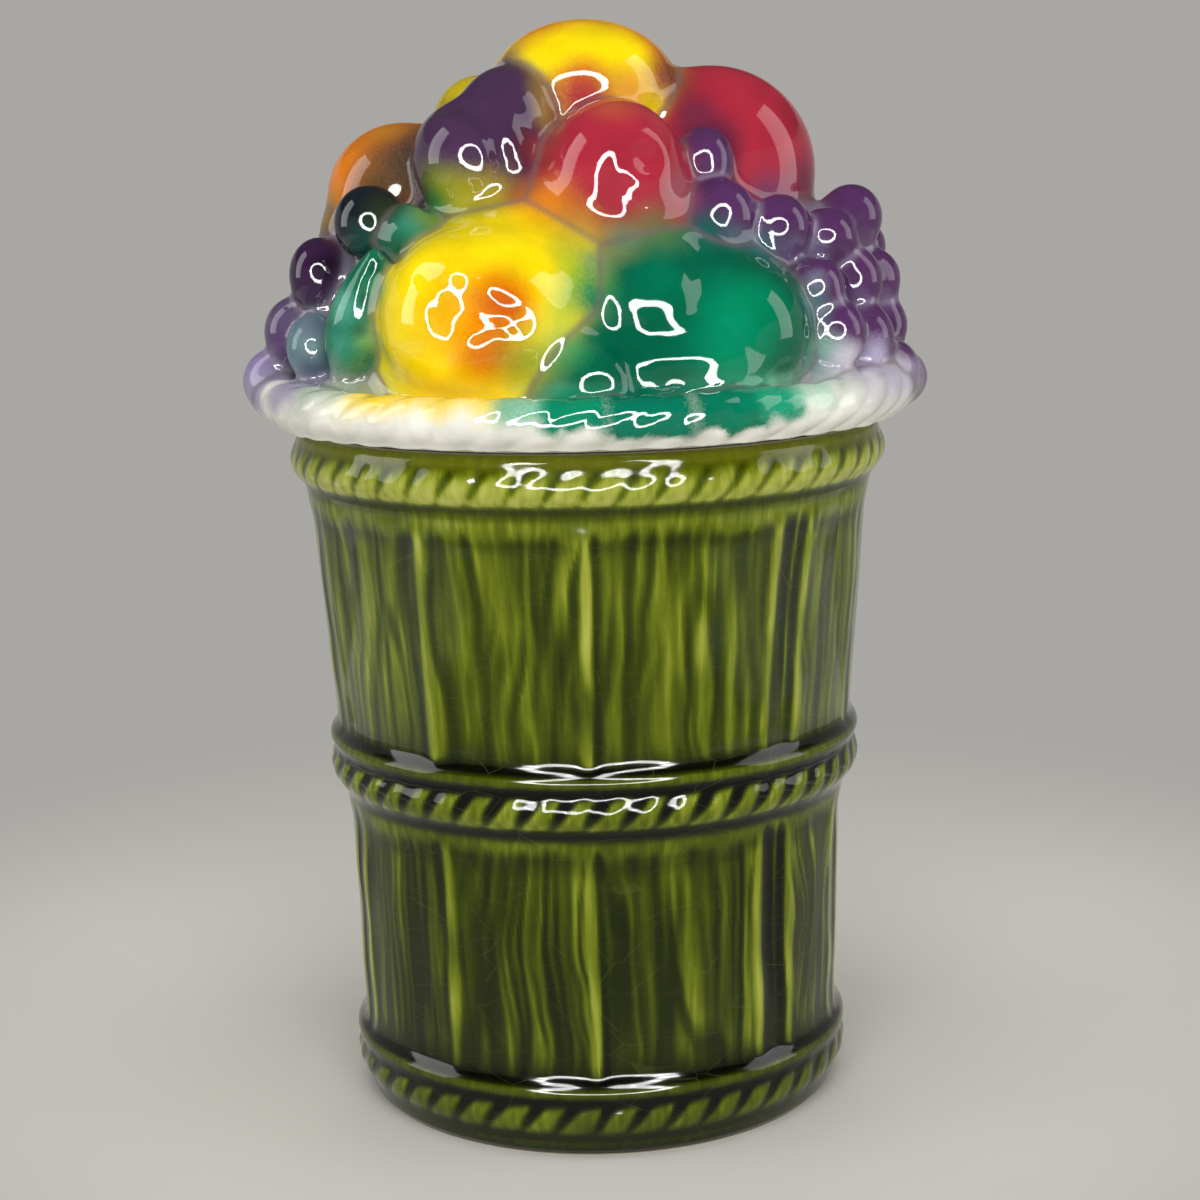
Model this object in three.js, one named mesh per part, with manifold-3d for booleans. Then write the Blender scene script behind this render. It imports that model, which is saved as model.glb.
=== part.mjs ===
// A cookie jar of glazed earthenware, slip cast in two pieces.
// The jar is cast as a barrel of upright staves between three rope bands.
// The lid is a hollow heap of fruit on a rope-edged plate, with a flange that drops into the jar's mouth.
// Millimetres, +Z up, the front of the jar faces -Y, the origin is the middle of the foot on the table.

import * as THREE from "three";
import { mergeVertices } from "three/addons/utils/BufferGeometryUtils.js";
import Module from "manifold-3d";

// Jar
const JAR_HEIGHT = 194; // table to the top of the rim
const BASE_RADIUS = 67.5; // outside of the wall behind the lowest rope
const WAIST_RADIUS = 72; // outside of the wall behind the middle rope
const SHOULDER_RADIUS = 80; // outside of the wall behind the top rope
const WALL = 6;
const FLOOR = 6;
const FOOT_INSET = 1; // foot edge, in from the wall of the lowest rope
const FOOT_RING = 8; // width of the flat ring that stands on the table
const FOOT_RECESS = 2; // how far the floor is raised inside that ring
const FOOT_ROUND = 4; // height of the rounded edge above the table

// Rope bands
const LOW_ROPE_HEIGHT = 12.5; // table to the middle of the rope
const MIDDLE_ROPE_HEIGHT = 99;
const TOP_ROPE_DROP = 7.7; // rim to the middle of the rope
const ROPE_RADIUS = 6;
const ROPE_PROUD = 4.3; // how far a rope stands out of the wall behind it
const STRAND_DEPTH = 1.3; // crest of a strand to the bottom of the lay between two
const LOW_STRANDS = 44;
const MIDDLE_STRANDS = 50;
const TOP_STRANDS = 54;
const RIDGE_RISE = 7.6; // middle of a rope to the plain ridge above it
const RIDGE_RADIUS = 1.9;
const RIDGE_PROUD = 4.5; // how far that ridge stands out of the wall
const STEP_DROP = 7; // middle of a rope to the plain step below it
const STEP_HEIGHT = 4.5;
const STEP_PROUD = 0.8;

// Staves
const STAVE_PROUD = 1.4; // a stave's lower end, out from the wall of the band below it
const STAVE_TUCK = 1.2; // a stave's upper end, in from the wall of the band above it
const GROOVE_DEPTH = 2.2;
// Bearing of each joint between two staves, clockwise from the front in degrees, and the joint's width.
const STAVE_JOINTS = [
  [-72, 7], [-36.5, 2.5], [0.5, 2.5], [43, 9], [72, 3],
  [107, 4], [144, 2.5], [180, 7], [215, 3], [252, 5],
];

// Lid
const SEAT_GAP = 0.3; // unglazed seat of the lid over the rim
const FLANGE_CLEARANCE = 1.5; // flange to the jar's mouth, all round
const FLANGE_DEPTH = 12;
const LID_OVERHANG = 8.2; // edge of the plate, out from the crest of the jar's top rope
const LID_ROPE_RADIUS = 6;
const LID_ROPE_LIFT = 8.8; // seat to the middle of the plate's rope edge
const LID_STRANDS = 48;
const SEAT_WIDTH = 8; // flat ring of the lid that bears on the rim
const PLATE_TOP = 10; // seat to the top of the plate, where the fruit starts
const HOLLOW_HEIGHT = 75; // seat to the top of the hollow under the fruit
const LID_WALL = 5; // flange, and the dome between the hollow and the fruit

// The heap of fruit, in hundredths of the plate's radius, so that it grows and shrinks with the plate.
// Places are [right, back, up] from the middle of the seat, and sizes are half extents.
const FRONT_FRUIT = [
  { at: [-27.6, -56.2, 38.9], size: [30.3, 30.3, 28.1] }, // yellow apple
  { at: [22.7, -54.1, 40.5], size: [20.5, 21.6, 20] }, // green pepper, four lobes
  { at: [46.5, -48.6, 30.3], size: [21.1, 23.8, 22.7] },
  { at: [3.8, -67, 17.3], size: [18.4, 19.5, 15.1] },
  { at: [28.1, -60.5, 21.6], size: [22.7, 21.6, 19.5] },
  { at: [9.7, -34.6, 74.6], size: [20.5, 21.1, 21.1] }, // red apple
  { at: [-29.2, -25.9, 84.3], size: [19.5, 20.5, 21.1] }, // plum
  { at: [1.1, 0, 98.9], size: [25.4, 25.9, 21.1] }, // peach on top
  { at: [47.6, 6.5, 81.1], size: [23.8, 25.9, 25.4] }, // large red apple
  { at: [-57.3, 4.3, 69.2], size: [21.6, 22.7, 22.7] }, // orange
  { at: [-32.4, 25.9, 88.1], size: [16.8, 18.4, 17.8] }, // small yellow apple
];
const BACK_FRUIT = [
  { at: [-29.2, 54.1, 36.8], size: [29.2, 30.3, 27] }, // pear, body and neck
  { at: [-36.8, 45.4, 60.5], size: [16.2, 16.2, 16.2] },
  { at: [31.4, 53, 35.7], size: [27, 28.1, 27] }, // orange
  { at: [36.8, 47.6, 62.7], size: [15.1, 15.1, 14.1] }, // apricot
  { at: [-3.2, 35.7, 73.5], size: [21.6, 21.6, 21.6] }, // red apple
  { at: [29.2, 29.2, 78.9], size: [18.4, 19.5, 18.4] }, // plum
  { at: [-64.9, 35.7, 32.4], size: [22.7, 22.7, 22.7] }, // lime
  { at: [67, 34.6, 34.6], size: [21.6, 22.7, 23.8] }, // peach
];
// Hollows at the stem or eye of the apples that face the front and the pear at the back.
const DIMPLES = [
  { at: [-30.8, -90.8, 38.9], size: [8.6, 8.6, 8.6] },
  { at: [16.8, -60.5, 75.7], size: [5.9, 7, 5.9] },
  { at: [-31.4, 88.6, 41.1], size: [7.6, 7.6, 7.6] },
];
const LEAVES = [
  { at: [-67, -43.2, 35.7], size: [8.6, 11.9, 21.6], bearing: -50 },
  { at: [-59.5, -49.7, 42.2], size: [6.5, 10.8, 20.5], bearing: -45 },
];
// Bulges of the lid's wall that carry a bunch of grapes.
const BUNCH_BACKS = [
  { at: [-62.7, -4.3, 30.3], size: [21.6, 25.9, 30.3] },
  { at: [62.7, -2.2, 32.4], size: [23.8, 30.3, 32.4] },
];
const GRAPES = [
  // left bunch
  { at: [-61.6, -32.4, 61.6], size: [10.4, 10.4, 11] },
  { at: [-78.4, -19.5, 46.5], size: [8.6, 9.7, 10.8] },
  { at: [-87, -15.1, 29.7], size: [8.6, 8.6, 9.7] },
  { at: [-95.1, -10.8, 14.6], size: [8.1, 8.6, 9.1] },
  { at: [-80, -30.3, 25.9], size: [7.6, 8.6, 9.2] },
  { at: [-85.4, 8.6, 27], size: [8.6, 8.6, 9.2] },
  { at: [-80, 13, 43.2], size: [8.6, 8.6, 8.6] },
  // right bunch
  { at: [36.2, -28.1, 77.3], size: [8.1, 8.6, 9.7] },
  { at: [40.5, -38.9, 62.2], size: [9, 9.2, 9.7] },
  { at: [57.3, -34.6, 57.8], size: [8.6, 9.2, 9.5] },
  { at: [71.9, -25.9, 54.6], size: [8.6, 9.2, 8.4] },
  { at: [80.5, -8.6, 59.5], size: [9.3, 9.7, 9.7] },
  { at: [67.6, -41.1, 41.1], size: [7.6, 8.6, 8.1] },
  { at: [80, -23.8, 41.6], size: [8.1, 8.6, 9.2] },
  { at: [87, -8.6, 41.1], size: [8.2, 8.1, 8.6] },
  { at: [73, -43.2, 27.6], size: [8.1, 8.6, 9.2] },
  { at: [83.2, -29.2, 25.4], size: [7.6, 8.6, 8.9] },
  { at: [89.7, -8.6, 27], size: [7.6, 8.1, 8.1] },
  { at: [91.9, -21.6, 15.1], size: [7, 8.1, 8.1] },
  { at: [95.7, -7.6, 11.4], size: [7.6, 8.1, 7.6] },
  { at: [84.3, 8.6, 49.7], size: [8.6, 8.6, 8.6] },
  { at: [86.5, 11.9, 25.9], size: [8.6, 8.6, 9.2] },
  // bunches at the back
  { at: [-9.7, 55.1, 55.1], size: [8.6, 8.6, 8.6] },
  { at: [8.6, 56.2, 54.1], size: [8.6, 8.6, 8.6] },
  { at: [0, 64.9, 40], size: [8.6, 8.6, 8.6] },
  { at: [-7.6, 76.8, 23.8], size: [8.6, 8.6, 8.6] },
  { at: [8.6, 75.7, 24.9], size: [8.6, 8.6, 8.6] },
  { at: [0.5, 84.3, 14.1], size: [8.1, 8.6, 8.6] },
  { at: [-57.3, 54.1, 47.6], size: [8.6, 8.6, 8.6] },
  { at: [-53, 65.9, 34.6], size: [8.6, 8.6, 8.6] },
  { at: [-63.8, 59.5, 21.6], size: [8.6, 8.6, 8.6] },
  { at: [-51.9, 73.5, 18.4], size: [8.6, 8.6, 8.6] },
  { at: [57.3, 55.1, 46.5], size: [8.6, 8.6, 8.6] },
  { at: [55.1, 64.9, 32.4], size: [8.6, 8.6, 8.6] },
  { at: [51.9, 73.5, 18.4], size: [8.6, 8.6, 8.6] },
  { at: [64.9, 61.6, 18.4], size: [8.6, 8.6, 8.6] },
];

// Fineness of the round shapes, in facets
const TURN_FACETS = 48;
const ROPE_RINGS = 6;
const FRUIT_FACETS = 14;
const GRAPE_FACETS = 10;
const FLAT_ENOUGH = 0.2; // facets closer than this to one plane are joined
const DOME_STEPS = 8;
const LAY_STRANDS = 2; // strands that a rope's lay crosses in one turn round the rope

const TURN = 2 * Math.PI;
const MERGE_DISTANCE = 1e-4;

// Sizes worked out from those above
const topRopeHeight = JAR_HEIGHT - TOP_ROPE_DROP;
const mouthRadius = SHOULDER_RADIUS - WALL;
const flangeRadius = mouthRadius - FLANGE_CLEARANCE;
const lidRadius = SHOULDER_RADIUS + ROPE_PROUD + LID_OVERHANG;
const lidRopeMiddle = lidRadius - LID_ROPE_RADIUS;
const hollowRadius = flangeRadius - LID_WALL;
const heapUnit = lidRadius / 100;
const lowerTier = {
  bottom: LOW_ROPE_HEIGHT + RIDGE_RISE + 2 * RIDGE_RADIUS,
  top: MIDDLE_ROPE_HEIGHT - STEP_DROP - STEP_HEIGHT,
  bottomRadius: BASE_RADIUS + STAVE_PROUD,
  topRadius: WAIST_RADIUS - STAVE_TUCK,
};
const upperTier = {
  bottom: MIDDLE_ROPE_HEIGHT + RIDGE_RISE + 2 * RIDGE_RADIUS,
  top: topRopeHeight - STEP_DROP - STEP_HEIGHT,
  bottomRadius: WAIST_RADIUS + STAVE_PROUD,
  topRadius: SHOULDER_RADIUS - STAVE_TUCK,
};

const wasm = await Module();
wasm.setup();

// A closed geometry as a solid that can be joined and cut.
function solidOf(geometry) {
  const bare = geometry.clone();
  bare.deleteAttribute("normal");
  bare.deleteAttribute("uv");
  const merged = mergeVertices(bare, MERGE_DISTANCE);
  const corners = Array.from(merged.index.array);
  const faces = [];
  for (let i = 0; i < corners.length; i += 3) {
    const face = corners.slice(i, i + 3);
    if (new Set(face).size === 3) faces.push(...face);
  }
  return new wasm.Manifold(
    new wasm.Mesh({
      numProp: 3,
      vertProperties: merged.attributes.position.array,
      triVerts: new Uint32Array(faces),
    }),
  );
}

function meshOf(name, solid, material) {
  const made = solid.asOriginal().simplify(FLAT_ENOUGH).getMesh();
  const geometry = new THREE.BufferGeometry();
  geometry.setAttribute("position", new THREE.BufferAttribute(made.vertProperties, made.numProp));
  geometry.setIndex(new THREE.BufferAttribute(made.triVerts, 1));
  geometry.computeVertexNormals();
  const mesh = new THREE.Mesh(geometry, material);
  mesh.name = name;
  return mesh;
}

// A turned solid from [radius, height] points that run up the outside, from the axis to the axis.
function turned(points) {
  const profile = points.map(([radius, height]) => new THREE.Vector2(radius, height));
  const geometry = new THREE.LatheGeometry(profile, TURN_FACETS);
  geometry.rotateX(Math.PI / 2);
  return solidOf(geometry);
}

// A rope laid in a ring. Its columns of points follow the strands: a crest, then a lay, then a crest.
function rope(ringRadius, height, strands, tubeRadius) {
  const columns = 2 * strands;
  const positions = [];
  for (let ring = 0; ring < ROPE_RINGS; ring++) {
    const around = (ring / ROPE_RINGS) * TURN;
    for (let column = 0; column < columns; column++) {
      const bearing = ((column / 2 + (ring / ROPE_RINGS) * LAY_STRANDS) / strands) * TURN;
      const reach = tubeRadius - (column % 2) * STRAND_DEPTH;
      const radius = ringRadius + reach * Math.cos(around);
      const rise = reach * Math.sin(around);
      positions.push(radius * Math.sin(bearing), -radius * Math.cos(bearing), height + rise);
    }
  }
  const faces = [];
  for (let ring = 0; ring < ROPE_RINGS; ring++) {
    const last = ring === ROPE_RINGS - 1;
    const above = last ? 0 : ring + 1;
    const shift = last ? 2 * LAY_STRANDS : 0;
    for (let column = 0; column < columns; column++) {
      const next = (column + 1) % columns;
      const a = ring * columns + column;
      const b = ring * columns + next;
      const c = above * columns + ((next + shift) % columns);
      const d = above * columns + ((column + shift) % columns);
      faces.push(a, b, c, a, c, d);
    }
  }
  const geometry = new THREE.BufferGeometry();
  geometry.setAttribute("position", new THREE.Float32BufferAttribute(positions, 3));
  geometry.setIndex(faces);
  return solidOf(geometry);
}

// The plain ridge above a rope, as profile points going up the wall.
function ridge(wallRadius, ropeHeight) {
  const middle = ropeHeight + RIDGE_RISE;
  const crest = wallRadius + RIDGE_PROUD;
  return [
    [wallRadius, middle - RIDGE_RADIUS],
    [crest, middle - RIDGE_RADIUS / 2],
    [crest, middle + RIDGE_RADIUS / 2],
    [wallRadius, middle + RIDGE_RADIUS],
  ];
}

// The plain step below a rope, with the wall of the rope above it.
function step(wallRadius, ropeHeight) {
  const top = ropeHeight - STEP_DROP;
  return [
    [wallRadius + STEP_PROUD, top - STEP_HEIGHT],
    [wallRadius + STEP_PROUD, top],
    [wallRadius, top],
  ];
}

function tierWall(tier) {
  return [
    [tier.bottomRadius, tier.bottom],
    [tier.topRadius, tier.top],
  ];
}

// A cutter for the groove between two staves, as tall as its tier and leaning with the wall.
function groove(tier, bearingDegrees, width) {
  const height = tier.top - tier.bottom;
  const section = new THREE.Shape();
  section.moveTo(-width / 2, GROOVE_DEPTH);
  section.lineTo(-width / 2, -GROOVE_DEPTH / 2);
  section.lineTo(0, -GROOVE_DEPTH);
  section.lineTo(width / 2, -GROOVE_DEPTH / 2);
  section.lineTo(width / 2, GROOVE_DEPTH);
  section.closePath();
  const lean = tier.topRadius - tier.bottomRadius;
  const geometry = new THREE.ExtrudeGeometry(section, {
    depth: Math.hypot(height, lean),
    bevelEnabled: false,
  });
  const bearing = THREE.MathUtils.degToRad(bearingDegrees);
  const outward = new THREE.Vector3(Math.sin(bearing), -Math.cos(bearing), 0);
  const along = outward.clone().multiplyScalar(lean);
  along.z = height;
  along.normalize();
  const across = new THREE.Vector3(Math.cos(bearing), Math.sin(bearing), 0);
  const facing = new THREE.Vector3().crossVectors(along, across);
  const frame = new THREE.Matrix4().makeBasis(across, facing, along);
  const start = outward.clone().multiplyScalar(tier.bottomRadius);
  frame.setPosition(start.x, start.y, tier.bottom);
  geometry.applyMatrix4(frame);
  return solidOf(geometry);
}

// The outside of the jar as a solid, from the raised floor inside the foot ring up to the rim.
function jarBlank() {
  const footRadius = BASE_RADIUS - FOOT_INSET;
  const footInner = footRadius - FOOT_RING;
  const rimRound = ROPE_PROUD / 2;
  return turned([
    [0, FOOT_RECESS],
    [footInner - FOOT_RECESS, FOOT_RECESS],
    [footInner, 0],
    [footRadius, 0],
    [BASE_RADIUS + STEP_PROUD, FOOT_ROUND],
    ...ridge(BASE_RADIUS, LOW_ROPE_HEIGHT),
    ...tierWall(lowerTier),
    ...step(WAIST_RADIUS, MIDDLE_ROPE_HEIGHT),
    ...ridge(WAIST_RADIUS, MIDDLE_ROPE_HEIGHT),
    ...tierWall(upperTier),
    ...step(SHOULDER_RADIUS, topRopeHeight),
    [SHOULDER_RADIUS + rimRound, JAR_HEIGHT - rimRound],
    [SHOULDER_RADIUS + rimRound / 2, JAR_HEIGHT],
    [0, JAR_HEIGHT],
  ]);
}

// The hollow of the jar, open upwards through the mouth.
function jarHollow() {
  const floorTop = FOOT_RECESS + FLOOR;
  const baseRadius = BASE_RADIUS - WALL;
  return turned([
    [0, floorTop],
    [baseRadius - WALL, floorTop],
    [baseRadius, floorTop + WALL],
    [WAIST_RADIUS - WALL, MIDDLE_ROPE_HEIGHT],
    [mouthRadius, topRopeHeight],
    [mouthRadius, JAR_HEIGHT + WALL],
    [0, JAR_HEIGHT + WALL],
  ]);
}

function makeJar() {
  let jar = jarBlank();
  for (const tier of [lowerTier, upperTier]) {
    for (const [bearing, width] of STAVE_JOINTS) {
      jar = jar.subtract(groove(tier, bearing, width));
    }
  }
  const ropes = [
    [BASE_RADIUS, LOW_ROPE_HEIGHT, LOW_STRANDS],
    [WAIST_RADIUS, MIDDLE_ROPE_HEIGHT, MIDDLE_STRANDS],
    [SHOULDER_RADIUS, topRopeHeight, TOP_STRANDS],
  ];
  for (const [wallRadius, height, strands] of ropes) {
    jar = jar.add(rope(wallRadius + ROPE_PROUD - ROPE_RADIUS, height, strands, ROPE_RADIUS));
  }
  return jar.subtract(jarHollow());
}

// A fruit, leaf or grape as an ellipsoid, turned about the upright axis.
function ellipsoid({ at, size, bearing = 0 }, facets) {
  const geometry = new THREE.SphereGeometry(1, facets, Math.round(facets * 0.7));
  geometry.rotateX(Math.PI / 2);
  geometry.scale(...size);
  geometry.rotateZ(THREE.MathUtils.degToRad(bearing));
  geometry.translate(...at);
  geometry.scale(heapUnit, heapUnit, heapUnit);
  return solidOf(geometry);
}

// Profile points of a dome from its lower edge to its top on the axis.
function dome(radius, bottom, top) {
  const points = [];
  for (let i = 0; i < DOME_STEPS; i++) {
    const angle = ((i / DOME_STEPS) * Math.PI) / 2;
    points.push([radius * Math.cos(angle), bottom + (top - bottom) * Math.sin(angle)]);
  }
  points.push([0, top]);
  return points;
}

// The plate, its seat and flange, as one turned piece filled up to the dome under the fruit.
function lidBlank() {
  return turned([
    [0, -FLANGE_DEPTH],
    [flangeRadius, -FLANGE_DEPTH],
    [flangeRadius, 0],
    [flangeRadius + SEAT_WIDTH, 0],
    [lidRopeMiddle, LID_ROPE_LIFT - LID_ROPE_RADIUS / 2],
    [lidRopeMiddle, PLATE_TOP],
    ...dome(hollowRadius + LID_WALL, PLATE_TOP, HOLLOW_HEIGHT + LID_WALL),
  ]);
}

// The hollow of the lid, open downwards through the flange.
function lidHollow() {
  return turned([
    [0, -FLANGE_DEPTH - LID_WALL],
    [hollowRadius, -FLANGE_DEPTH - LID_WALL],
    ...dome(hollowRadius, 0, HOLLOW_HEIGHT),
  ]);
}

function makeLid() {
  let lid = lidBlank();
  lid = lid.add(rope(lidRopeMiddle, LID_ROPE_LIFT, LID_STRANDS, LID_ROPE_RADIUS));
  for (const fruit of [...FRONT_FRUIT, ...BACK_FRUIT, ...LEAVES, ...BUNCH_BACKS]) {
    lid = lid.add(ellipsoid(fruit, FRUIT_FACETS));
  }
  for (const grape of GRAPES) {
    lid = lid.add(ellipsoid(grape, GRAPE_FACETS));
  }
  for (const dimple of DIMPLES) {
    lid = lid.subtract(ellipsoid(dimple, GRAPE_FACETS));
  }
  return lid.subtract(lidHollow());
}

const greenGlaze = new THREE.MeshStandardMaterial({ color: 0x5f6b14, roughness: 0.08, metalness: 0 });
const fruitGlaze = new THREE.MeshStandardMaterial({ color: 0xe8c63a, roughness: 0.08, metalness: 0 });

const cookieJar = new THREE.Group();
cookieJar.name = "cookie_jar";
cookieJar.add(meshOf("jar", makeJar(), greenGlaze));
const lid = meshOf("lid", makeLid(), fruitGlaze);
lid.position.z = JAR_HEIGHT + SEAT_GAP;
cookieJar.add(lid);

export default cookieJar;
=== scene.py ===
"""A cookie jar of glazed earthenware: a barrel of staves bound with rope, and a lid heaped with fruit.

The jar and the lid are each one slip casting, so each is one piece here.
Sizes are in millimetres and are turned to metres where a mesh is made. The front of the jar faces -Y.
"""

import math

import bpy
import numpy as np
from mathutils import Matrix, Vector


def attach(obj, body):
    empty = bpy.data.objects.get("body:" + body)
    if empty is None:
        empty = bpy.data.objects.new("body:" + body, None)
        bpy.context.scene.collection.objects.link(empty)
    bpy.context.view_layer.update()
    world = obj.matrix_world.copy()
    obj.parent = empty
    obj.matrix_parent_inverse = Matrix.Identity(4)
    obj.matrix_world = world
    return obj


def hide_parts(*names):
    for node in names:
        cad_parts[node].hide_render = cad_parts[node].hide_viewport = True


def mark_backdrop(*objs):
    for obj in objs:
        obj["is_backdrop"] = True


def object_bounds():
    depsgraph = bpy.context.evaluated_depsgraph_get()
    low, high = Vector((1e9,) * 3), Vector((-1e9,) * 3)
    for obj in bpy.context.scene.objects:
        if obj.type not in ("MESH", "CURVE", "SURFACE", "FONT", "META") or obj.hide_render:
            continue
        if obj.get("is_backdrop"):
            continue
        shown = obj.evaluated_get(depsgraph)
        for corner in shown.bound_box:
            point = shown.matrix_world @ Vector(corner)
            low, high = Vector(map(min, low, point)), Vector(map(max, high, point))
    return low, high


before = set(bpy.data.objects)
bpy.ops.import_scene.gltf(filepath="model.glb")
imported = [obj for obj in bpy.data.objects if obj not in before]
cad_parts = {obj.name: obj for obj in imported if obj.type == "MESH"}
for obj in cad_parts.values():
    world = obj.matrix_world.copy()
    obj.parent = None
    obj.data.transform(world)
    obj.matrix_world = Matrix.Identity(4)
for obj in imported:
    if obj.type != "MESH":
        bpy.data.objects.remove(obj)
cad_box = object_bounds()

MM = 0.001
TURN = 2 * math.pi

# Jar: sizes close to those of the part's source
RIM = 194.0
FLOOR_TOP = 8.0
FOOT_RECESS = 2.0
# Wall radius behind each rope, height of the rope's middle, strands
LOW_BAND = (67.5, 12.2, 44)
MIDDLE_BAND = (72.0, 98.4, 50)
TOP_BAND = (80.0, 185.9, 54)
ROPE = 6.6
ROPE_PROUD = 4.3
# Ridge over each of the two lower ropes: rope, rise over the rope's middle
RIDGES = ((LOW_BAND, 6.9), (MIDDLE_BAND, 8.2))
RIDGE_HALF = 2.7
# Bottom and top of the staves in each tier, with the wall's radius at both
LOWER_STAVES = (20.4, 68.9, 86.0, 70.7)
UPPER_STAVES = (108.0, 73.4, 172.6, 78.6)
# Joints between staves: bearing from the front in degrees, width, depth, and how raised the stave's edge is
# left and right of it
STAVE_JOINTS = [
    (-72.0, 4.6, 1.0, 0.9, 1.0), (-36.8, 1.4, 0.3, 0.0, 1.1), (0.4, 1.3, 0.6, 1.1, 0.0),
    (43.0, 8.0, 0.8, 0.8, 0.9), (72.0, 3.0, 0.8, 0.9, 0.8), (107.0, 4.0, 0.9, 1.0, 0.3),
    (144.0, 1.6, 0.5, 0.2, 1.0), (180.0, 7.0, 1.0, 1.0, 0.8), (215.0, 1.5, 0.5, 1.0, 0.1),
    (252.0, 4.6, 1.0, 0.8, 0.9),
]

# Lid: sizes of the part's source, heights from the seat
SEAT = 194.3
LID_RADIUS = 92.5
LID_ROPE = 6.0
LID_ROPE_LIFT = 8.8
LID_STRANDS = 48
FLANGE_RADIUS = 72.5
FLANGE_DEPTH = 12.0
HOLLOW_RADIUS = 67.5
HOLLOW_HEIGHT = 75.0
PLATE_TOP = 10.5

# Olive glaze from none to 2 mm of it
GLAZE_RAMP = [
    (0.0, "#b4b858"), (0.05, "#98a036"), (0.1, "#6c7812"), (0.13, "#58640a"), (0.16, "#495404"),
    (0.21, "#364000"), (0.3, "#202800"), (0.5, "#0b0e00"), (0.8, "#020300"),
]

# Underglaze colours, sRGB
YELLOW = "#fde008"
ORANGE = "#ee8410"
CRIMSON = "#ae2c3e"
PLUM = "#4a3050"
GRAPE = "#55305e"
GREEN = "#006246"
# Lighter green of the pepper's right lobe, partly a painted highlight
LIGHT_GREEN_HIGHLIGHT = "#008c60"
CREAM = "#f1efe2"
TAUPE = "#6e6262"
# Pale lilac of the seams between grapes: the sprayed colour, lightened by a painted highlight along the
# glaze ridge
LILAC_SEAM_SHEEN = "#8f8899"

# Fruit of the heap: skin colour, then each lobe's place [right, back, up] from the middle of the seat,
# and half extents
FRUIT = {
    "yellow_apple": (YELLOW, [((-26, -52, 33), (27.5, 28, 23.5))]),
    "green_pepper": (GREEN, [
        ((21, -48, 32.5), (18, 19.5, 16)), ((42, -44, 26.5), (17.5, 22, 19.5)),
        ((3.5, -62, 16), (17, 18, 14)),
        ((27, -55, 19), (22, 20, 17)), ((29, -42, 24), (26, 22, 20))]),
    "red_apple": (CRIMSON, [((9, -33, 67.5), (18.7, 20.5, 21))]),
    "plum": (PLUM, [((-28, -25, 73.5), (17.3, 19.5, 16.3)), ((-20, -18, 84), (13, 16, 13.5))]),
    "top_peach": (YELLOW, [((1, 0, 92), (25.5, 24, 18.5))]),
    "large_red_apple": (CRIMSON, [((36.5, 6, 68), (29.3, 25, 29.3))]),
    "orange": (ORANGE, [((-50, 2, 63), (21, 21, 20.5))]),
    "small_yellow_apple": ("#c9b21c", [((-28, 10, 83.5), (13, 14, 12.5))]),
    "pear": ("#e9d21c", [((-27, 50, 34), (27, 28, 25)), ((-34, 42, 56), (15, 15, 15))]),
    "back_orange": (ORANGE, [((29, 49, 33), (25, 26, 25))]),
    "apricot": ("#f4a818", [((34, 44, 58), (14, 14, 13))]),
    "back_red_apple": (CRIMSON, [((-3, 33, 68), (20, 20, 20))]),
    "back_plum": (PLUM, [((27, 27, 73), (17, 18, 17))]),
    "lime": ("#2d8f4c", [((-60, 33, 30), (21, 21, 21))]),
    "back_peach": ("#f6c01c", [((62, 32, 32), (20, 21, 22))]),
}
# Bulges of the lid's wall that carry a bunch of grapes
BUNCH_BACKS = [
    ((-58, -4, 28), (20, 24, 28)), ((58, -2, 30), (22, 28, 30)), ((62, -39, 8), (12, 12, 9)),
    ((-63, -37, 8), (12, 12, 9)), ((73.5, -28, 10.5), (9, 9, 6)),
]
# Leaves: place, half extents across, inwards and along, bearing in degrees, and lean per millimetre up
LEAVES = [((-59.5, -45, 33), (9.5, 7, 18.5), -35, 0.36), ((-46, -37, 53), (9, 8, 9), -50, 0.0)]
LEFT_GRAPES = [
    ((-57, -30, 57), (9.6, 9.6, 10.2)), ((-72.5, -18, 43), (8, 9, 10)), ((-80.5, -14, 27.5), (8, 8, 9)),
    ((-88, -10, 13.5), (7.5, 8, 8.4)), ((-74, -28, 24), (7, 8, 8.5)), ((-79, 8, 25), (8, 8, 8.5)),
    ((-74, 12, 40), (8, 8, 8)), ((-72, -3, 42), (8, 8, 8.5)), ((-65, -4, 54), (7.5, 8, 8)),
    ((-79.5, -3, 27), (7.5, 7.5, 8)),
]
LEFT_GRAPE_SKINS = ["#1c2229", "#371d40", "#5f4f70", "#8a7ca6", "#5f7f86"] + ["#443052"] * 5
RIGHT_GRAPES = [
    ((33.5, -26, 71.5), (7.5, 8, 9)), ((37.5, -36, 57.5), (8.3, 8.5, 9)),
    ((53, -32, 53.5), (8, 8.5, 8.8)), ((66.5, -24, 50.5), (8, 8.5, 7.8)), ((74.5, -8, 55), (8.6, 9, 9)),
    ((62.5, -38, 38), (7, 8, 7.5)), ((74, -22, 38.5), (7.5, 8, 8.5)), ((80.5, -8, 38), (7.6, 7.5, 8)),
    ((67.5, -40, 25.5), (7.5, 8, 8.5)), ((77, -27, 23.5), (7, 8, 8.2)), ((83, -8, 25), (7, 7.5, 7.5)),
    ((85, -20, 14), (6.5, 7.5, 7.5)), ((88.5, -7, 10.5), (7, 7.5, 7)), ((78, 8, 46), (8, 8, 8)),
    ((80, 11, 24), (8, 8, 8.5)),
]
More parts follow.
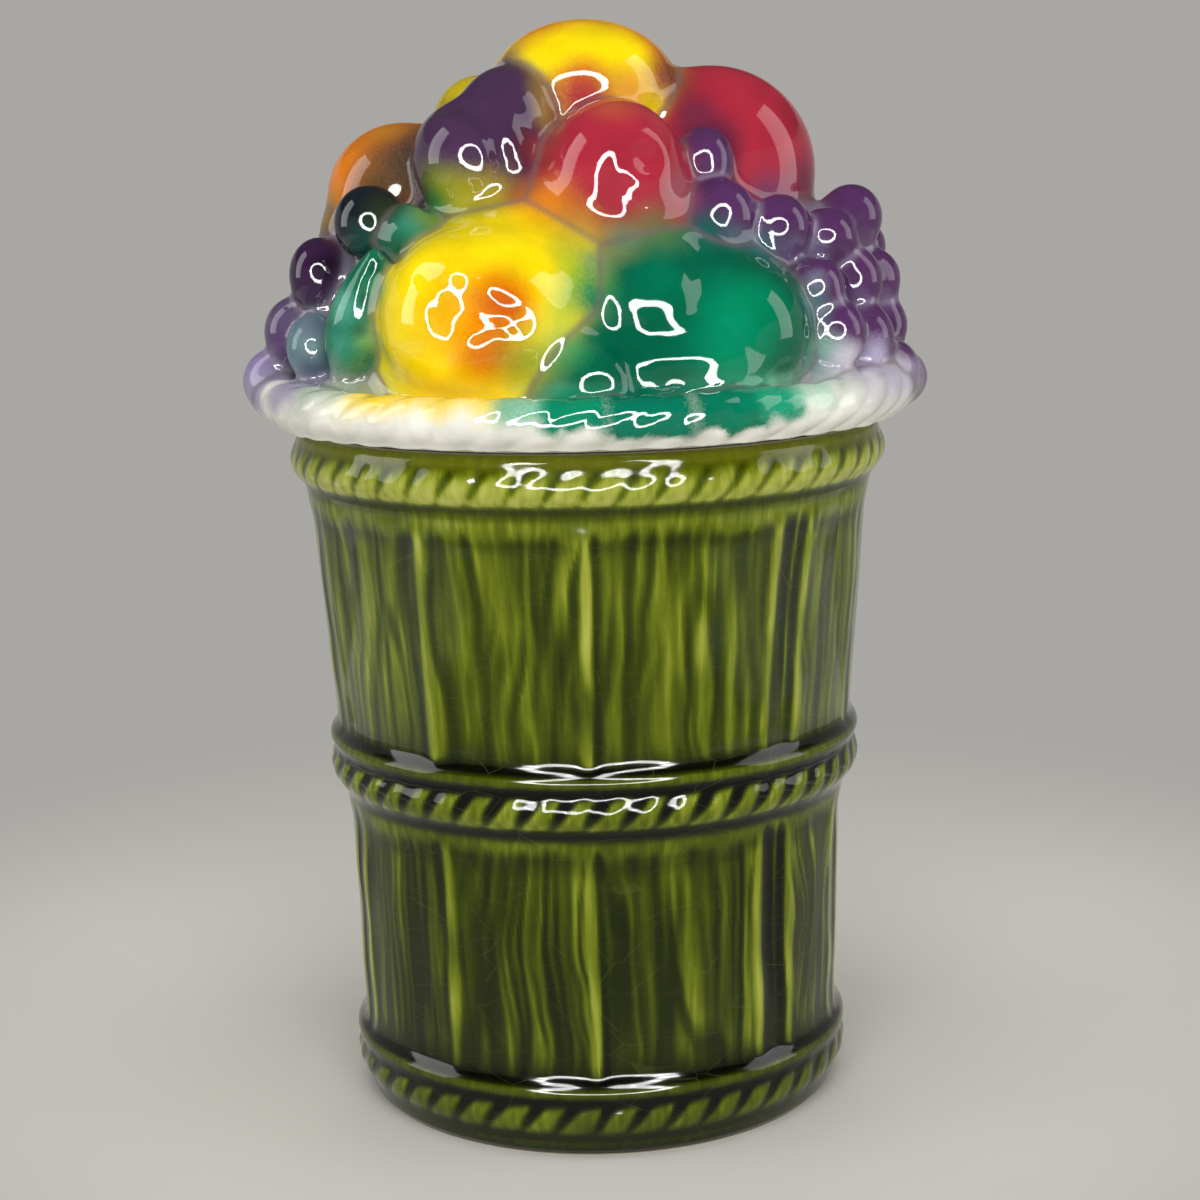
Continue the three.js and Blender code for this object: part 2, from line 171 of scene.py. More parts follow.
BACK_GRAPES = [
    ((-9, 51, 51), (8, 8, 8)), ((8, 52, 50), (8, 8, 8)), ((0, 60, 37), (8, 8, 8)),
    ((-7, 71, 22), (8, 8, 8)), ((8, 70, 23), (8, 8, 8)), ((0.5, 78, 13), (7.5, 8, 8)),
    ((-53, 50, 44), (8, 8, 8)), ((-49, 61, 32), (8, 8, 8)), ((-59, 55, 20), (8, 8, 8)),
    ((-48, 68, 17), (8, 8, 8)), ((53, 51, 43), (8, 8, 8)), ((51, 60, 30), (8, 8, 8)),
    ((48, 68, 17), (8, 8, 8)), ((60, 57, 17), (8, 8, 8)),
]

# Sprays of second colours, each over those before it: [right, back, up] of the middle, reach, colour,
# strength
SPRAYS = [
    # yellow apple: orange round the blossom end, green towards the pepper
    ((-29, -78, 36), 20, "#f2a00c", 0.85), ((-20, -79, 38), 12, "#dd5f04", 0.95),
    ((-25, -78, 25), 12, "#d97006", 0.9), ((-14, -75, 23), 11, "#9aa83a", 0.75),
    ((-8, -73, 31), 9, "#d0d648", 0.55), ((-4, -70, 38), 9, "#a3c040", 0.75),
    ((0, -64, 45), 10, "#7cab30", 0.85), ((3, -66, 38), 9, "#1f8256", 0.95),
    ((-3, -61, 51), 9, "#b4bd2c", 0.75), ((-4, -72, 24), 9, "#3f8f58", 0.9),
    ((-52, -58, 38), 7, "#c4c020", 0.5), ((-50, -58, 18), 10, "#dfd83a", 0.6),
    # peach on top: orange over the crown, red and violet below
    ((-12, -5, 108), 14, "#f39a14", 0.85), ((1, -3, 112), 15, "#f5a316", 0.8),
    ((15, -4, 109), 14, "#f6a814", 0.8), ((23, -6, 101), 11, "#d0701c", 0.85),
    ((-20, -9, 101), 8, "#cdaa40", 0.6), ((-21, -13, 97), 9, "#5d4a58", 0.9),
    ((-19, -19, 91), 9, "#54405a", 0.9), ((-10, -23, 90), 8, "#94702e", 0.7),
    ((1, -24, 93), 10, "#ea8418", 0.85), ((1, -27, 88), 13, "#a8283a", 1.0),
    ((14, -21, 91), 9, "#e88a3c", 0.7), ((23, -13, 94), 9, "#a34a34", 0.85),
    # plum: ochre and maroon on its right, yellow-green below, and a painted reflection on its left
    ((-9, -28, 90), 7, "#8d7440", 0.8), ((-8, -30, 84), 6, "#b89c48", 0.7),
    ((-13, -37, 75), 9, "#5c2230", 0.8), ((-38, -39, 65), 11, "#7f8c24", 0.95),
    ((-31, -42, 63), 11, "#9a9a26", 0.95), ((-23, -43, 63), 10.5, "#a3922e", 0.95),
    ((-40, -35, 61), 8, "#2f7a44", 0.9), ((-14, -43, 63), 8, "#7c2434", 0.85),
    # painted reflection: a pale greyish violet sheen over the plum's left side
    ((-44, -28, 77), 8, "#5b4a66", 0.6),
    # orange, dulled towards the plum, and the small yellow apple behind
    ((-46, -15, 72), 23, "#4b4038", 0.95), ((-56, -17, 65), 14, "#6c5636", 0.7),
    ((-52, -16, 54), 16, "#2c2a2c", 0.9), ((-39, -10, 82), 12, "#54483c", 0.9),
    ((-70, -6, 59), 10, "#93811f", 0.75), ((-54, -6, 83), 9, "#c98b22", 0.6),
    ((-39, 0, 85), 8, "#6f6030", 0.6),
    # red apple: orange on the left below, green underneath
    ((-8, -46, 58), 14, "#e28c14", 0.95), ((0, -52, 52), 11, "#bb9a34", 0.9),
    ((9, -53, 49), 10, "#8f8a3c", 0.9), ((18, -50, 52), 12, "#567a4a", 0.9),
    ((25, -43, 64), 9, "#9c5a64", 0.75), ((9, -42, 87), 9, "#c9603c", 0.7),
    ((-8, -38, 77), 9, "#c2554a", 0.5), ((21, -40, 82), 9, "#b84a52", 0.5),
    # large red apple, shaded with violet towards the grapes
    ((35, -18, 76), 12, "#4c2544", 0.95), ((31, -14, 84), 9, "#6c2a44", 0.8),
    ((25, -6, 93), 10, "#6f3433", 0.9), ((61, -5, 65), 12, "#67284a", 0.8),
    ((52, -17, 59), 12, "#6d4a74", 0.8), ((61, -5, 82), 10, "#8f2434", 0.6),
    # pepper: the lighter greens on its right lobe are partly painted highlight, the darker green on its left
    # partly painted shade
    ((40, -65, 34), 18, LIGHT_GREEN_HIGHLIGHT, 0.85), ((38, -72, 22), 14, "#06966a", 0.7),
    ((14, -70, 26), 13, "#005f42", 0.6), ((20, -66, 44), 10, "#007a56", 0.5),
    ((3, -60, 46), 6, "#4f8272", 0.6), ((10, -56, 52), 7, "#4d7f70", 0.5),
    # leaves: the lighter teal over the left half of the leaf is partly a painted highlight
    ((-63, -50, 36), 7, "#4fa58d", 0.9), ((-64, -48, 26), 7, "#3f9a80", 0.7),
    ((-53, -54, 40), 6, "#2b8a68", 0.7), ((-56, -54, 26), 7, "#8fc06a", 0.8),
    ((-58, -52, 15), 9, "#b4c24e", 0.85), ((-54, -51, 46), 3, "#034a34", 0.8),
    ((-57, -53, 38), 3, "#034a34", 0.8), ((-59, -53, 30), 3, "#034a34", 0.8),
    ((-61, -52, 22), 3, "#034a34", 0.8), ((-46, -44, 59), 8, "#3f8d76", 0.8),
    ((-49, -46, 51), 6, "#05523c", 0.8), ((-41, -42, 60), 6, "#7f9a3a", 0.6),
    # left grapes
    ((-58, -40, 51), 9, "#07443a", 0.95), ((-52, -38, 60), 8, "#2f3a22", 0.8),
    ((-69, -27, 46), 6, "#16121c", 0.8), ((-83, -22, 25), 7, "#56386a", 0.7),
    ((-90, -18, 9), 8, "#d2cede", 0.9), ((-86, -20, 16), 6, "#6d6090", 0.5),
    ((-73, -36, 25), 6, "#86a6a4", 0.7), ((-74, -35, 31), 6, "#6c6a84", 0.7),
    ((-74, -35, 18), 7, "#4d5468", 0.7),
    # right grapes: teal towards the pepper, pale over the rope edge
    ((33, -47, 54), 8, "#1f5a54", 0.95), ((40, -44, 51), 6, "#4f6a72", 0.7),
    ((47, -41, 49), 7, "#3d6870", 0.9), ((56, -41, 48), 6, "#6a6a88", 0.7),
    ((62, -33, 47), 6, "#7a7494", 0.7), ((61, -46, 40), 5, "#7f8a98", 0.6),
    ((60, -47, 33), 7, "#4f7d80", 0.9), ((73, -30, 33), 6, "#7a6a90", 0.6),
    ((63, -47, 21), 8, "#7fae9e", 0.95), ((69, -47, 19), 7, "#d5cfdc", 0.9),
    ((78, -35, 19), 7, "#c0b8d6", 0.9), ((85, -28, 11), 7, "#cfc9dc", 0.85),
    ((92, -18, 7), 7, "#cfcadc", 0.85), ((83, -16, 32), 6, "#7a5a8c", 0.6),
    # pale glaze where the outer grapes and leaves meet the plate
    ((74, -50, 13), 12, "#d2cdd2", 0.95), ((63, -57, 13), 11, "#c4d3c6", 0.9),
    ((82, -38, 11), 9, "#cdc7d4", 0.9), ((-72, -50, 13), 12, "#d0cdc9", 0.95),
    ((-81, -38, 12), 9, "#cbc6d2", 0.9), ((-58, -62, 12), 10, "#dcd78a", 0.9),
    # fruit at the back
    ((-25, 76, 34), 15, "#ee9a1c", 0.6), ((-36, 56, 62), 9, "#7fae3c", 0.7),
    ((-4, 50, 60), 12, "#e88a18", 0.8), ((66, 50, 40), 12, "#cc4a3c", 0.8),
    ((-70, 48, 36), 12, "#0c7a50", 0.7), ((30, 72, 20), 13, "#c8d030", 0.5),
]
# Colour that ran down over the rope edge of the plate: bearing and half width in degrees, colour,
# lowest height, softness, strength
RUNS = [
    (-34, 12, "#f6d21c", 11.5, 4, 0.9), (-20, 9, "#fbdc3a", 11, 4, 0.85), (-52, 9, "#9dbb9a", 11, 4, 0.6),
    (-9, 8, "#5fb08c", 9, 3, 0.8), (-2, 7, "#0a8460", 6, 1.2, 1.0), (10, 10, "#04755a", 4.4, 1.0, 1.0),
    (24, 9, "#04795a", 5, 1.2, 1.0), (33, 6, "#1f9a74", 7, 2, 0.95), (40, 6, "#8cc7a8", 10, 4, 0.6),
    (-64, 8, "#8f86a8", 9, 3, 0.6), (-80, 6, "#8f86a8", 7, 3, 0.7), (66, 9, "#b3abc4", 9, 3, 0.5),
    (78, 7, "#8c80a6", 6, 3, 0.7), (118, 9, "#f6c01c", 9, 3, 0.7), (150, 14, "#f0b81c", 9, 3, 0.8),
    (180, 7, "#8c80a6", 8, 3, 0.6), (208, 14, "#e9d21c", 9, 3, 0.8), (242, 10, "#2d8f4c", 7, 1.5, 0.9),
]


def linear(colour):
    """A #rrggbb sRGB colour as linear red, green, blue and alpha."""
    channels = [int(colour[i:i + 2], 16) / 255 for i in (1, 3, 5)]
    return (*[c / 12.92 if c <= 0.04045 else ((c + 0.055) / 1.055) ** 2.4 for c in channels], 1.0)


def smooth_step(low, high, value):
    t = np.clip((value - low) / (high - low), 0, 1)
    return t * t * (3 - 2 * t)


NOISE_TABLE = np.random.default_rng(7).random((256, 256))


def wander(x, y):
    """Smooth seeded noise from 0 to 1, one bump to a unit square."""
    xi, yi = np.floor(x).astype(int), np.floor(y).astype(int)
    xf, yf = x - xi, y - yi
    xf, yf = xf * xf * (3 - 2 * xf), yf * yf * (3 - 2 * yf)
    corner = lambda i, j: NOISE_TABLE[(xi + i) % 256, (yi + j) % 256]
    low = corner(0, 0) * (1 - xf) + corner(1, 0) * xf
    high = corner(0, 1) * (1 - xf) + corner(1, 1) * xf
    return low * (1 - yf) + high * yf


# Modelling helpers

def deselect():
    bpy.ops.object.select_all(action="DESELECT")


def select_only(piece):
    deselect()
    piece.select_set(True)
    bpy.context.view_layer.objects.active = piece


def turned_piece(name, profile, steps):
    """A solid spun round the upright axis from (radius, height) points in millimetres."""
    deselect()
    bpy.ops.mesh.primitive_plane_add(size=MM, location=(0, 0, 0))
    piece = bpy.context.object
    piece.name = piece.data.name = name
    bpy.ops.object.mode_set(mode="EDIT")
    bpy.ops.mesh.select_all(action="SELECT")
    bpy.ops.mesh.merge(type="CENTER")
    radius, height = profile[0]
    bpy.ops.transform.translate(value=(radius * MM, 0, height * MM))
    for (r0, h0), (r1, h1) in zip(profile, profile[1:]):
        step = ((r1 - r0) * MM, 0, (h1 - h0) * MM)
        bpy.ops.mesh.extrude_region_move(TRANSFORM_OT_translate={"value": step})
    bpy.ops.mesh.select_all(action="SELECT")
    bpy.ops.mesh.spin(steps=steps, angle=TURN, center=(0, 0, 0), axis=(0, 0, 1))
    bpy.ops.mesh.select_all(action="SELECT")
    bpy.ops.mesh.remove_doubles(threshold=0.002 * MM)
    bpy.ops.mesh.normals_make_consistent(inside=False)
    bpy.ops.object.mode_set(mode="OBJECT")
    return piece


def points_of(piece):
    """The piece's vertices in millimetres."""
    flat = np.empty(len(piece.data.vertices) * 3)
    piece.data.vertices.foreach_get("co", flat)
    return flat.reshape(-1, 3) / MM


def move_points(piece, points):
    piece.data.vertices.foreach_set("co", (points * MM).ravel())
    piece.data.update()


def write_values(piece, name, values):
    piece.data.attributes.new(name, "FLOAT", "POINT").data.foreach_set("value", values.astype(np.float32))


def write_colours(piece, name, colours):
    layer = piece.data.attributes.new(name, "FLOAT_COLOR", "POINT")
    rows = np.column_stack([colours, np.ones(len(colours))])
    layer.data.foreach_set("color", rows.astype(np.float32).ravel())


def apply_modifier(piece, kind, **settings):
    select_only(piece)
    modifier = piece.modifiers.new(kind.lower(), kind)
    for key, value in settings.items():
        setattr(modifier, key, value)
    bpy.ops.object.modifier_apply(modifier=modifier.name)


def smooth_shade(piece):
    select_only(piece)
    bpy.ops.object.shade_smooth()


# Jar: the relief is worked out on a grid of bearing and height, first the clay, then the glaze over it

# Steps of the grid, in millimetres up and in degrees round
ROW_STEP = 0.5
COLUMN_STEP = 0.25
# Columns of the mesh, and the radius at which widths round the staves are measured
JAR_COLUMNS = 600
STAVE_RADIUS = 74
GRID_ROWS = np.arange(0, RIM + 0.01, ROW_STEP)
GRID_COLUMNS = np.arange(0, 360, COLUMN_STEP)
# 1 over the lower tier of staves, 0 over the upper
LOWER_TIER = smooth_step(100, 60, GRID_ROWS)


def rope_reach(bearing, height, band, pocket):
    """How far a rope band's strands stand from the axis; pocket is the lay's depth at the rope's top."""
    wall, middle, strands = band
    up = (height - middle) / ROPE
    bulge = np.sqrt(np.clip(1 - up ** 2, 0, 1)) * ROPE + ROPE_PROUD - ROPE
    place = strands * bearing / 360 - 0.45 * up + 0.12 * (wander(bearing / 9, height / 40 + wall) - 0.5)
    across = np.abs(2 * (place % 1) - 1)
    lay = across ** 2.6 * (0.5 + pocket * smooth_step(-0.9, 0.5, up)) * smooth_step(-1.1, -0.85, up)
    return np.where(np.abs(up) < 1, wall + bulge - lay, 0)


def stave_reach(bearing, height, tier, seed):
    """How far the staves of one tier stand from the axis: carved grain, raised edges and joints."""
    bottom, bottom_radius, top, top_radius = tier
    rise = (height - bottom) / (top - bottom)
    reach = bottom_radius + (top_radius - bottom_radius) * rise
    across = bearing * TURN / 360 * STAVE_RADIUS
    sway = 5.5 * (wander(across / 12 + seed, height / 30) - 0.5)
    sway = sway + 1.2 * (wander(across / 4 + 31, height / 10 + seed) - 0.5)
    # Carved lines run where this noise crosses its middle, so they fork and close in long loops
    figure = wander((across + sway) / 5.6 + seed, height / 58 + seed)
    lines = np.exp(-((figure - 0.5) / 0.1) ** 2) * (0.3 + 0.7 * wander(across / 8 + 5, height / 24 + seed))
    broad = wander((across + sway) / 3.3 + seed, height / 90) - 0.5
    fine = wander((across + 1.4 * sway) / 1.3 + seed, height / 34 + 9) - 0.5
    reach = reach - 0.55 * lines + 0.42 * broad + 0.28 * fine
    rounding = np.zeros_like(height)
    shallow = 0.6 if tier is UPPER_STAVES else 1.0
    for number, (joint, width, depth, left, right) in enumerate(STAVE_JOINTS):
        drift = 2.8 * (wander(np.full_like(height, 3.7 * number + seed), height / 30) - 0.5)
        side = ((bearing - joint + 180) % 360 - 180) * TURN / 360 * reach - drift
        gap = shallow * smooth_step(width / 2 + 0.9, width / 2 - 0.9, np.abs(side))
        rib = np.exp(-((side - 0.1 * width) / 0.7) ** 2) * smooth_step(3.5, 6.5, width)
        rib = rib * 1.1 * smooth_step(0.05, 0.45, rise)
        reach = reach - depth * gap + rib
        wear = 0.2 + 1.0 * wander(np.full_like(height, 5.3 * number + seed), height / 14)
        for edge, raised in ((-1, left), (1, right)):
            inward = edge * side - width / 2
            bead = 0.8 * np.exp(-((inward - 1.9) / 1.9) ** 2) + 0.4 * np.exp(-((inward - 4) / 4.5) ** 2)
            reach = reach + wear * raised * bead
        rounding = np.maximum(rounding, 1.2 * smooth_step(width / 2 + 5, width / 2, np.abs(side)))
    ragged = 0.9 * wander(bearing / 12, bearing * 0 + seed)
    foot = smooth_step(-0.4, 1.4, height - bottom - rounding - ragged)
    return reach - 1.3 * (1 - foot)


def soft_union(one, other, softness):
    """The greater of two reaches, with the corner between them rounded."""
    share = np.clip(0.5 + 0.5 * (one - other) / softness, 0, 1)
    return other + share * (one - other) + softness * share * (1 - share)


def clay_relief():
    """Radius of the clay under the glaze, over the grid."""
    bearing, height = np.meshgrid(GRID_COLUMNS, GRID_ROWS)
    reach = 66.6 + 2.2 * smooth_step(-0.5, 5, height) + 0.6 * smooth_step(3, 9, height)
    reach = np.where(height < 17.4, reach, 67.0)
    tiers = ((LOWER_STAVES, 11, 19.4, 107.0, 71.7), (UPPER_STAVES, 53, 107.0, 200, 79.6))
    for tier, seed, start, band_top, band_reach in tiers:
        # The band over the staves ends in a soft scalloped edge
        edge = tier[2] + 2.6 * (wander(bearing / 10, bearing * 0 + seed) - 0.5)
        over = smooth_step(edge - 3.4, edge + 3.4, height)
        staves = stave_reach(bearing, height, tier, seed)
        tier_reach = staves + over * (band_reach - staves)
        reach = np.where((height > start) & (height < band_top), tier_reach, reach)
    reach = np.where((height > 100) & (height < 107.0), 71.0, reach)
    for band, pocket in ((LOW_BAND, 1.7), (MIDDLE_BAND, 1.9), (TOP_BAND, 0.8)):
        below = smooth_step(band[1] + 1, band[1] - 3, height)
        reach = soft_union(rope_reach(bearing, height, band, pocket), reach, 0.3 + 1.2 * below)
    for (wall, middle, _), rise in RIDGES:
        up = (height - middle - rise) / RIDGE_HALF
        ridge = wall + 4.4 * np.sqrt(np.clip(1 - up ** 2, 0, 1))
        reach = np.maximum(reach, np.where(np.abs(up) < 1, ridge, 0))
    lip = 81.6 + 0.6 * np.sqrt(np.clip(1 - ((height - 191) / 3.2) ** 2, 0, 1))
    return np.where(height > 189.5, np.maximum(reach, lip), reach)


def band_shade():
    """Extra depth of the glaze at each height: it ran down, and lies thickest low on the jar. Over the foot
    it also holds painted shade, darker towards the floor.
    """
    height = GRID_ROWS
    shade = 0.12 * LOWER_TIER * smooth_step(19, 26, height)
    # Darker over the foot: thicker glaze there, and painted shade towards the floor
    shade = shade + 0.28 * smooth_step(7.6, 4.8, height) + 0.06 * smooth_step(22, 18, height)
    shade = shade - 0.05 * smooth_step(170, 178, height) - 0.11 * smooth_step(177, 181, height)
    shade = shade + 0.16 * smooth_step(185, 190, height)
    for (_, middle, _), rise in RIDGES:
        shade = shade + 0.04 * smooth_step(-8, -5, height - middle) * smooth_step(12, 8, height - middle)
        shade = shade + 0.2 * smooth_step(3.4, 1.8, np.abs(height - middle - rise))
    return shade


def drowned():
    """Share of the relief that thick glaze levels out: the upper half of the two lower ropes."""
    return sum(share * smooth_step(-3, 2, GRID_ROWS - middle) * smooth_step(10.5, 8.5, GRID_ROWS - middle)
               for share, (_, middle, _) in ((0.3, LOW_BAND), (0.8, MIDDLE_BAND)))


def soften(relief, rows, columns):
    """The relief blurred by a bell curve, rows and columns wide; bearings wrap round."""
    out = relief
    for axis, width in ((0, rows), (1, columns)):
        reach = int(3 * width) + 1
        offsets = np.arange(-reach, reach + 1)
        weights = np.exp(-0.5 * (offsets / width) ** 2)
        weights /= weights.sum()
        if axis == 0:
            padded = np.pad(out, ((reach, reach), (0, 0)), mode="edge")
            out = sum(w * padded[reach + o:reach + o + len(GRID_ROWS)] for o, w in zip(offsets, weights))
        else:
            out = sum(w * np.roll(out, -o, axis=1) for o, w in zip(offsets, weights))
    return out


def read_grid(grid, bearing, height):
    column = (bearing % 360) / COLUMN_STEP
    row = np.clip(height / ROW_STEP, 0, len(GRID_ROWS) - 1.001)
    c, r = np.floor(column).astype(int), np.floor(row).astype(int)
    cf, rf = column - c, row - r
    c1 = (c + 1) % len(GRID_COLUMNS)
    c = c % len(GRID_COLUMNS)
    low = grid[r, c] * (1 - cf) + grid[r, c1] * cf
    high = grid[r + 1, c] * (1 - cf) + grid[r + 1, c1] * cf
    return low * (1 - rf) + high * rf


def glaze_relief(clay):
    """Radius of the glaze's surface and its depth: it fills the hollows and lies thin on the crests. The
    depth sets the colour, and over the foot it also holds painted shade.
    """
    full = np.maximum(clay, soften(clay, 3.2, 9.0))
    full = np.maximum(clay, soften(full, 3.0, 8.0))
    thin = np.maximum(clay, soften(clay, 2.4, 4.4))
    thin = np.maximum(clay, soften(thin, 1.8, 3.4))
    sharp = (0.1 + 0.6 * smooth_step(176, 180, GRID_ROWS))[:, None]
    glaze = soften(full + sharp * (thin - full), 1.8, 3.4)
    level = soften(np.maximum(clay, soften(clay, 2.0, 16.0)), 2.0, 12.0)
    flood = drowned()[:, None]
    glaze = glaze + flood * (np.maximum(glaze, level) - glaze)
    # Colour follows the nearby hollows more than the levelled surface does
    filled = soften(thin, 1.4, 2.0)
    filled = filled + flood * (np.maximum(filled, level) - filled)
    crest = np.maximum(soften(clay, 0.8, 1.4) - soften(clay, 2.8, 10.0), 0)
    staves = smooth_step(22, 27, GRID_ROWS) * smooth_step(88, 81, GRID_ROWS)
    staves = staves + smooth_step(109, 114, GRID_ROWS) * smooth_step(174, 167, GRID_ROWS)
    ropes = (1 - staves) * smooth_step(174, 170, GRID_ROWS)
    strength = 1.1 + 0.6 * ropes + 0.4 * staves * (1 + 1.2 * LOWER_TIER)
    darkness = strength[:, None] * np.maximum(filled - soften(clay, 0.7, 1.0), -0.15)
    # band_shade adds depth by height, with painted shade over the foot
    darkness = darkness - 0.3 * staves[:, None] * np.minimum(crest, 0.5) + 0.27 + band_shade()[:, None]
    # Broad streaks: thinner glaze on what stands out from its neighbours
    broad = soften(clay, 2.0, 4.0) - soften(clay, 8.0, 36.0)
    darkness = darkness - staves[:, None] * (0.3 + 0.35 * LOWER_TIER[:, None]) * broad
    darkness = darkness + 0.75 * staves[:, None] * np.maximum(0.23 - darkness, 0)
    # Deep glaze stays clearer than its depth alone would make it
    clear = 0.42 + 0.14 * LOWER_TIER + 0.2 * ropes - 0.2 * smooth_step(174, 180, GRID_ROWS)
    return glaze, darkness - (0.6 - 0.3 * ropes[:, None]) * np.maximum(darkness - clear[:, None], 0)


def jar_rows():
    """Heights of the rows up the outside: close over the ropes, wider over the staves."""
    rows = [0.0, 0.5, 1.2, 2.0]
    while rows[-1] < RIM - 0.6:
        height = rows[-1]
        staves = 24 < height < 82 or 112 < height < 168
        rows.append(height + (2.5 if staves else 0.8))
    return rows[:-1] + [RIM - 0.7, RIM]


def blank_radius(height):
    """Radius of the plain wall that the relief is then pushed out from."""
    return 62 + 0.09 * height


def make_jar():
    rows = jar_rows()
    outside = [(blank_radius(height), height) for height in rows]
    profile = [(0, FOOT_RECESS), (54, FOOT_RECESS), (56.5, 1.2), (58.5, 0), *outside]
    profile += [(79.4, RIM), (75.0, RIM), (74.2, RIM - 0.8), (74.0, RIM - 4), (74.0, 186.3), (66.0, 99.0)]
    profile += [(61.5, 16.0), (60.4, 12.0), (58.0, 9.2), (55.0, FLOOR_TOP), (0, FLOOR_TOP)]
    jar = turned_piece("glazed_jar", profile, JAR_COLUMNS)
    clay = clay_relief()
    glaze, darkness = glaze_relief(clay)
    points = points_of(jar)
    radius = np.hypot(points[:, 0], points[:, 1])
    bearing = np.degrees(np.arctan2(points[:, 0], -points[:, 1]))
    height = points[:, 2]
    outer = (np.abs(radius - blank_radius(height)) < 0.01) & (radius > 61)
    reach = np.where(outer, read_grid(glaze, bearing, height), radius)
    turn_in = 1.5 * smooth_step(2.2, 0, height) + 1.0 * smooth_step(RIM - 1.5, RIM, height)
    turn_in = np.where(outer, turn_in, 0)
    scale = np.where(radius > 1e-6, (reach - turn_in) / np.maximum(radius, 1e-6), 1)
    points[:, :2] *= scale[:, None]
    move_points(jar, points)
    # Depth of the glaze for the colour ramp, with painted shade over the foot
    depth = np.where(outer, read_grid(darkness, bearing, height), 0)
    write_values(jar, "glaze_depth_and_shade", depth)
    write_values(jar, "inside", np.where(outer, 0.0, 1.0) * (height > 5))
    write_values(jar, "bare_foot", np.where((height < 0.3) | (~outer & (height < 3)), 1.0, 0.0))
    smooth_shade(jar)
    return jar


# Lid

def stand_at(at, bearing):
    """Matrix that sets a piece of the heap at its place from the seat, turned to its bearing."""
    place = Vector(at) * MM + Vector((0, 0, SEAT * MM))
    return Matrix.Translation(place) @ Matrix.Rotation(math.radians(bearing), 4, "Z")


def fruit_ball(at, size, bearing=0, segments=40):
    """One fruit, grape or leaf of the heap as a ball pulled to its size."""
    deselect()
    bpy.ops.mesh.primitive_uv_sphere_add(segments=segments, ring_count=segments * 2 // 3, radius=MM)
    ball = bpy.context.object
    bpy.ops.object.mode_set(mode="EDIT")
    bpy.ops.mesh.select_all(action="SELECT")
    bpy.ops.transform.resize(value=size)
    bpy.ops.object.mode_set(mode="OBJECT")
    ball.data.transform(stand_at(at, bearing))
    return ball


def leaf_blade(at, size, bearing, lean):
    """A leaf: a ball drawn to a point at both ends."""
    leaf = fruit_ball((0, 0, -SEAT), size)
    points = points_of(leaf)
    along = np.clip(points[:, 2] / size[2], -1, 1)
    points[:, :2] *= (1 - 0.45 * along ** 2)[:, None]
    points[:, 0] += lean * points[:, 2]
    move_points(leaf, points)
    leaf.data.transform(stand_at(at, bearing))
    return leaf


def rope_tube(bearing, around):
    """Radius of the rope round the plate, with shallow strands. Angles are in radians."""
    across = np.abs(2 * ((LID_STRANDS * bearing / TURN - 1.6 * around / math.pi) % 1) - 1)
    return LID_ROPE - 0.75 * across ** 2.2


def rope_edge():
    deselect()
    bpy.ops.mesh.primitive_torus_add(
        major_radius=(LID_RADIUS - LID_ROPE) * MM, minor_radius=LID_ROPE * MM, major_segments=384,
        minor_segments=28, location=(0, 0, (SEAT + LID_ROPE_LIFT) * MM))
    rope = bpy.context.object
    bpy.ops.object.transform_apply(location=True)
    points = points_of(rope)
    ring = LID_RADIUS - LID_ROPE
    radius = np.hypot(points[:, 0], points[:, 1])
    bearing = np.arctan2(points[:, 0], -points[:, 1])
    around = np.arctan2(points[:, 2] - SEAT - LID_ROPE_LIFT, radius - ring)
    tube = rope_tube(bearing, around)
    radius = ring + tube * np.cos(around)
    points[:, 0], points[:, 1] = radius * np.sin(bearing), -radius * np.cos(bearing)
    points[:, 2] = SEAT + LID_ROPE_LIFT + tube * np.sin(around)
    move_points(rope, points)
    return rope


def ball_distance(at, middle, size):
    """About how far points are outside a ball of those half extents."""
    scaled = (at - np.array(middle, float)) / np.array(size, float)
    reach = np.linalg.norm(scaled, axis=1)
    slope = np.linalg.norm(scaled / np.array(size, float), axis=1)
    return reach * (reach - 1) / np.maximum(slope, 1e-6)


def leaf_distance(at, middle, size, bearing, lean):
    c, s = math.cos(math.radians(bearing)), math.sin(math.radians(bearing))
    x, y, z = (at - np.array(middle, float)).T
    width = 1 - 0.45 * np.clip(z / size[2], -1, 1) ** 2
    flat = np.column_stack([(c * x + s * y - lean * z) / width, (c * y - s * x) / width, z])
    return ball_distance(flat, (0, 0, 0), size)


def soft_least(rows, softness):
    """The least of the rows at each point, with the corners between them rounded."""
    rows = np.asarray(rows)
    low = rows.min(axis=0)
    return low - softness * np.log(np.exp((low - rows) / softness).sum(axis=0))


def heap_distances(at):
    """How far points are from each fruit, leaf, grape and the rope edge, in the order of HEAP_SKINS."""
    rows = [soft_least([ball_distance(at, *ball) for ball in balls], 1.6) for _, balls in FRUIT.values()]
    rows += [leaf_distance(at, *leaf) for leaf in LEAVES]
    rows += [ball_distance(at, *ball) for ball in LEFT_GRAPES + RIGHT_GRAPES + BACK_GRAPES + BUNCH_BACKS]
    radius = np.hypot(at[:, 0], at[:, 1])
    out, rise = radius - LID_RADIUS + LID_ROPE, at[:, 2] - LID_ROPE_LIFT
    rows.append(np.hypot(out, rise) - rope_tube(np.arctan2(at[:, 0], -at[:, 1]), np.arctan2(rise, out)))
    return np.array(rows)


HEAP_SKINS = [skin for skin, _ in FRUIT.values()] + ["#0a6e50"] * len(LEAVES) + LEFT_GRAPE_SKINS
GRAPE_ROWS = (len(FRUIT) + len(LEAVES), len(HEAP_SKINS) + len(RIGHT_GRAPES + BACK_GRAPES + BUNCH_BACKS))
HEAP_SKINS += [GRAPE] * len(RIGHT_GRAPES + BACK_GRAPES) + ["#8b8494"] * len(BUNCH_BACKS) + [CREAM]


